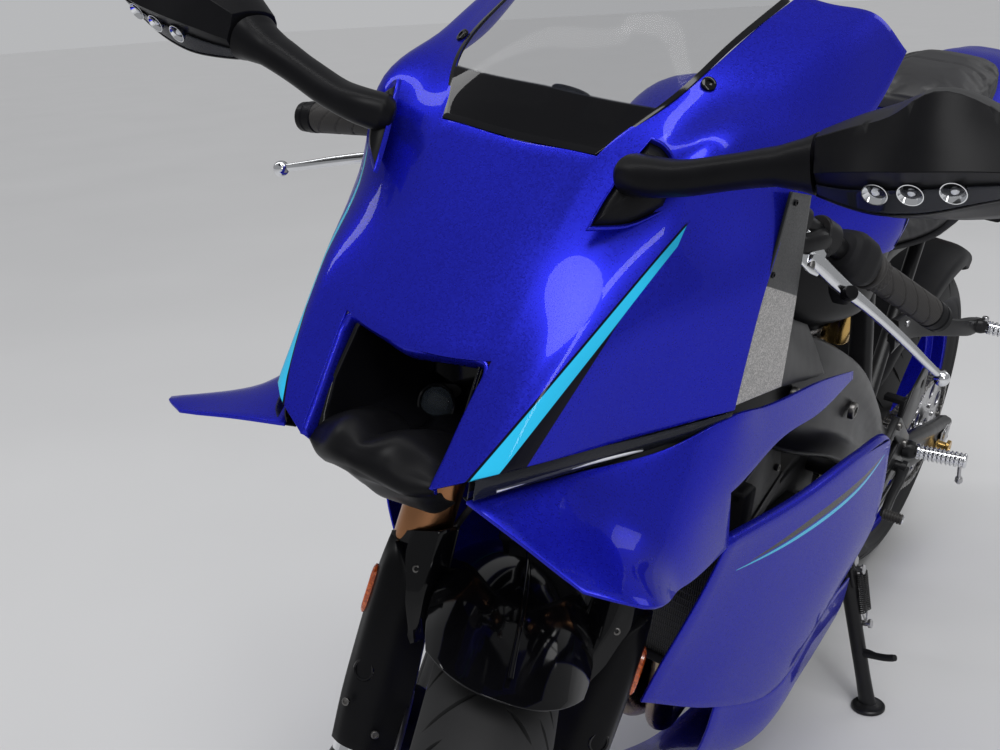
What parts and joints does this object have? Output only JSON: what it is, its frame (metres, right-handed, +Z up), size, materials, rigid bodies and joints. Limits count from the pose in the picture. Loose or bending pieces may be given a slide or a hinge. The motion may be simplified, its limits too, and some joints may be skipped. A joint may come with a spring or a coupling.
{
  "type": "sport motorcycle",
  "caption": "Sport motorcycle parked on its side stand with full fairing, air intake nose, winglets, clip-on bars turned to the left stop and a high tail.",
  "frame": {"origin": "on the floor, under the middle of the parked machine's box", "axes": "+Z up, +Y to the rear, +X to the rider's left; the machine leans 11 degrees to +X on its side stand"},
  "size_m": [0.8104, 2.0342, 1.1564],
  "materials": {
    "bare_alloy": "polished",
    "bare_steel": "satin steel",
    "black_alloy": "satin black",
    "black_gloss": "gloss black",
    "black_satin": "satin black",
    "blue_paint": "metallic royal blue, gloss",
    "blue_wheel": "metallic blue paint",
    "chain_steel": "dark steel links",
    "clear_screen": "clear",
    "disc_steel": "ground steel",
    "gold_alloy": "gold anodised",
    "grey_metallic": "dark metallic grey",
    "grip_rubber": "matt grey-black rubber",
    "lamp_lens": "clear lens",
    "red_lens": "red lens",
    "seat_cover": "black seat cover over foam",
    "tyre_rubber": "matt black rubber"
  },
  "bodies": {
    "chassis": {"main_frame": "black_alloy", "swingarm": "black_alloy", "rear_axle": "bare_steel", "paddock_spools": "bare_alloy", "engine_block": "black_alloy", "radiator": "black_alloy", "exhaust": "black_alloy", "rear_shock": "black_alloy", "drive_chain": "chain_steel", "drive_sprocket": "bare_steel", "fuel_tank": "blue_paint", "rider_seat": "seat_cover", "tail_cowl": "blue_paint", "pillion_seat": "seat_cover", "rear_subframe": "black_alloy", "tail_lamp": "red_lens", "plate_holder": "black_satin", "rear_hugger": "black_satin", "upper_cowl": "blue_paint", "intake_duct": "black_gloss", "nose_chin": "black_satin", "windscreen": "clear_screen", "instrument_panel": "black_satin", "winglets": "blue_paint", "grey_strips": "grey_metallic", "inner_panels": "black_satin", "side_fairings": "blue_paint", "lower_cowls": "blue_paint", "head_lamp": "lamp_lens", "position_lamps": "lamp_lens", "mirrors": "black_satin", "footrests": "bare_alloy", "pillion_footrests": "bare_alloy", "rear_caliper": "black_alloy", "stand_bracket": "black_alloy"},
    "steering": {"fork_upper_tubes": "gold_alloy", "fork_lower_legs": "black_alloy", "front_axle": "bare_steel", "upper_yoke": "black_alloy", "lower_yoke": "black_alloy", "clip_on_bars": "black_alloy", "hand_grips": "grip_rubber", "switch_housings": "black_satin", "control_levers": "bare_alloy", "front_fender": "black_gloss", "front_calipers": "black_alloy"},
    "front_wheel": {"front_rim": "blue_wheel", "front_tyre": "tyre_rubber", "front_discs": "disc_steel"},
    "rear_wheel": {"rear_rim": "blue_wheel", "rear_tyre": "tyre_rubber", "rear_disc": "disc_steel", "rear_sprocket": "bare_steel"},
    "side_stand": {"side_stand": "black_alloy"}
  },
  "joints": [
    {"name": "steering", "type": "hinge", "parent": "chassis", "child": "steering", "pos_m": [-0.14732, -0.72136, 0.27836], "axis": [0.1765, 0.3795, 0.9082], "range_deg": [-60, 0]},
    {"name": "front_wheel", "type": "hinge", "parent": "steering", "child": "front_wheel", "pos_m": [-0.1316, -0.74412, 0.28481], "axis": [0.8139, 0.4626, -0.3515], "continuous": true},
    {"name": "rear_wheel", "type": "hinge", "parent": "chassis", "child": "rear_wheel", "pos_m": [-0.14061, 0.67226, 0.3129], "axis": [0.9816, 0, -0.1908], "continuous": true},
    {"name": "side_stand", "type": "hinge", "parent": "chassis", "child": "side_stand", "pos_m": [-0.01815, 0.1805, 0.24064], "axis": [0.9912, -0.0017, 0.1323], "range_deg": [0, 100]}
  ]
}
